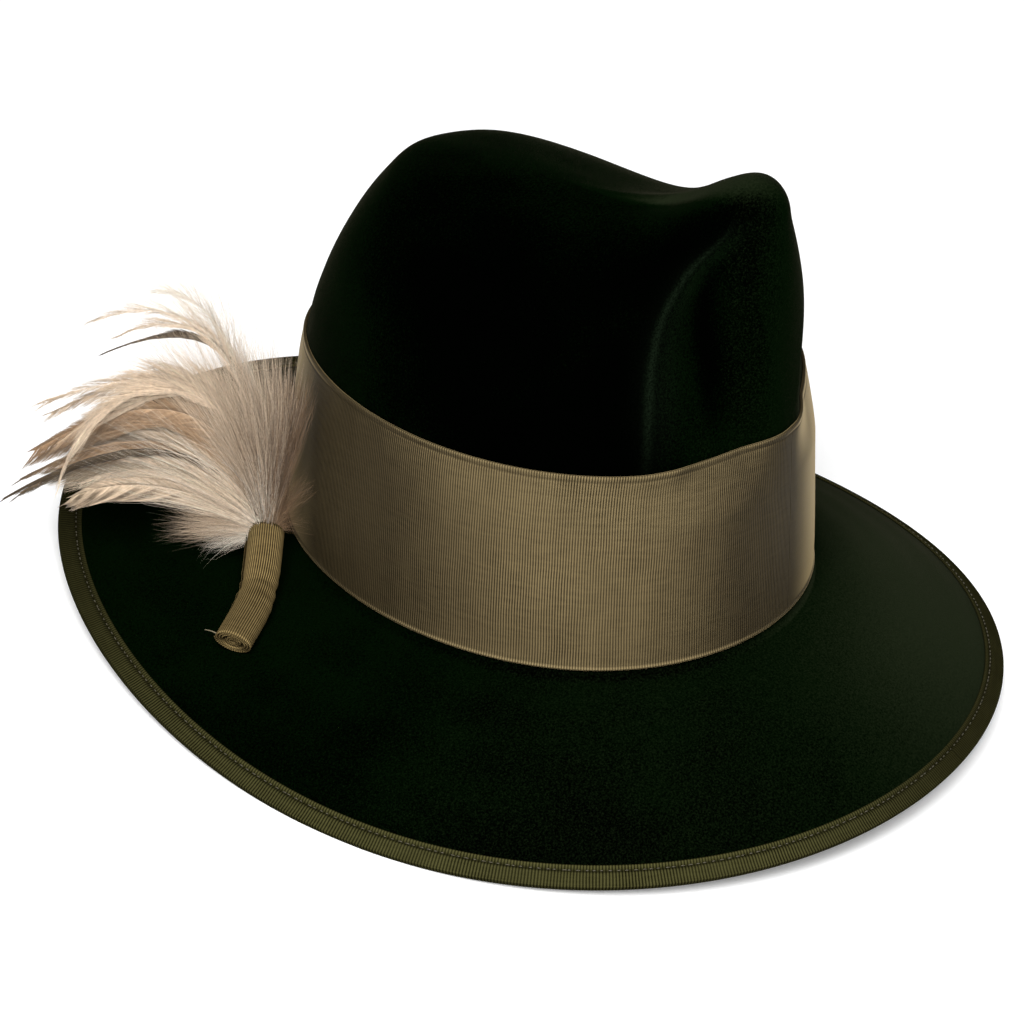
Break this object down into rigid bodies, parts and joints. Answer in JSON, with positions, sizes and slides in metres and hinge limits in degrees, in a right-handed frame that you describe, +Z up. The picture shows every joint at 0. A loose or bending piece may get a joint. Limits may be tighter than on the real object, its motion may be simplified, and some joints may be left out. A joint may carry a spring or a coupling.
{
  "type": "felt hat",
  "caption": "Tall black felt hat with pinched crown, wide ribbon band, ribbon-bound brim and a feather plume held in a rolled ribbon; worn on the head, rests on its brim.",
  "frame": {"origin": "on the surface the hat rests on, under the middle of its bounding box", "axes": "+Z up as it rests, -Y towards the wearer's front, -X towards the wearer's right, where the plume is"},
  "size_m": [0.3268, 0.3666, 0.2136],
  "materials": {
    "felt": "napped felt, near black with a dark green tint",
    "band_ribbon": "ribbed ribbon, olive brown, soft sheen",
    "trim_ribbon": "ribbed ribbon, dark olive, soft sheen",
    "feather": "feathers, cream to tan and brown"
  },
  "bodies": {
    "root": {"felt_body": "felt", "hat_band": "band_ribbon", "brim_binding": "trim_ribbon", "rolled_stem": "trim_ribbon", "plume": "feather"}
  },
  "joints": []
}
